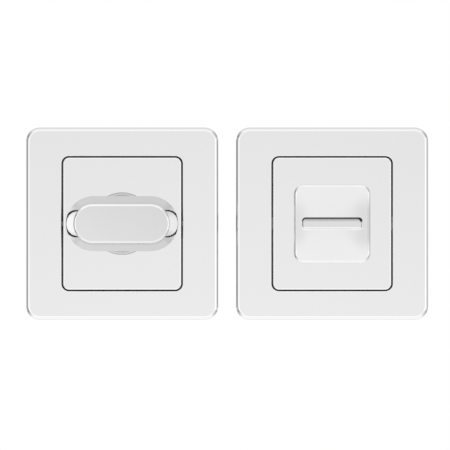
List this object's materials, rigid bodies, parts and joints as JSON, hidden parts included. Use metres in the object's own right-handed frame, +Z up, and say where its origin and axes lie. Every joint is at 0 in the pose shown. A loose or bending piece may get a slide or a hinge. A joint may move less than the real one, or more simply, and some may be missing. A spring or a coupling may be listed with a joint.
{
  "type": "bathroom thumb turn lock",
  "caption": "Bathroom lock for a door: square chrome roses with an oblong thumb turn for the inside, a slotted coin release for the outside, a square spindle and bolts through the door.",
  "frame": {"origin": "on the axis of the thumb turn, at the door face and midway between its two fixing bolts", "axes": "-Y out of the door face towards the user, +Z up, +X from the thumb turn towards the coin release"},
  "size_m": [0.1046, 0.0692, 0.05],
  "materials": {
    "chrome": "polished",
    "black_nylon": "moulded",
    "zinc_steel": "zinc plated",
    "spring_steel": "oiled",
    "brass": "turned"
  },
  "bodies": {
    "roses": {"turn_cover": "chrome", "turn_panel": "chrome", "turn_base": "black_nylon", "turn_collar": "chrome", "turn_flat_washer": "zinc_steel", "turn_spring_washer": "spring_steel", "fixing_bolts": "zinc_steel", "release_cover": "chrome", "release_panel": "chrome", "release_base": "black_nylon", "release_bush": "brass", "release_flat_washer": "zinc_steel", "release_spring_washer": "spring_steel", "threaded_posts": "zinc_steel"},
    "turn": {"thumb_turn": "chrome", "spindle": "zinc_steel", "spindle_pin": "spring_steel", "turn_circlip": "spring_steel"},
    "release": {"coin_release": "chrome", "release_circlip": "spring_steel"}
  },
  "joints": [
    {"name": "turn_spin", "type": "hinge", "parent": "roses", "child": "turn", "pos_m": [0, 0, 0], "axis": [0, -1, 0], "range_deg": [-90, 90]},
    {"name": "release_spin", "type": "hinge", "parent": "roses", "child": "release", "pos_m": [0.0546, 0, 0], "axis": [0, -1, 0], "range_deg": [-90, 90]}
  ]
}
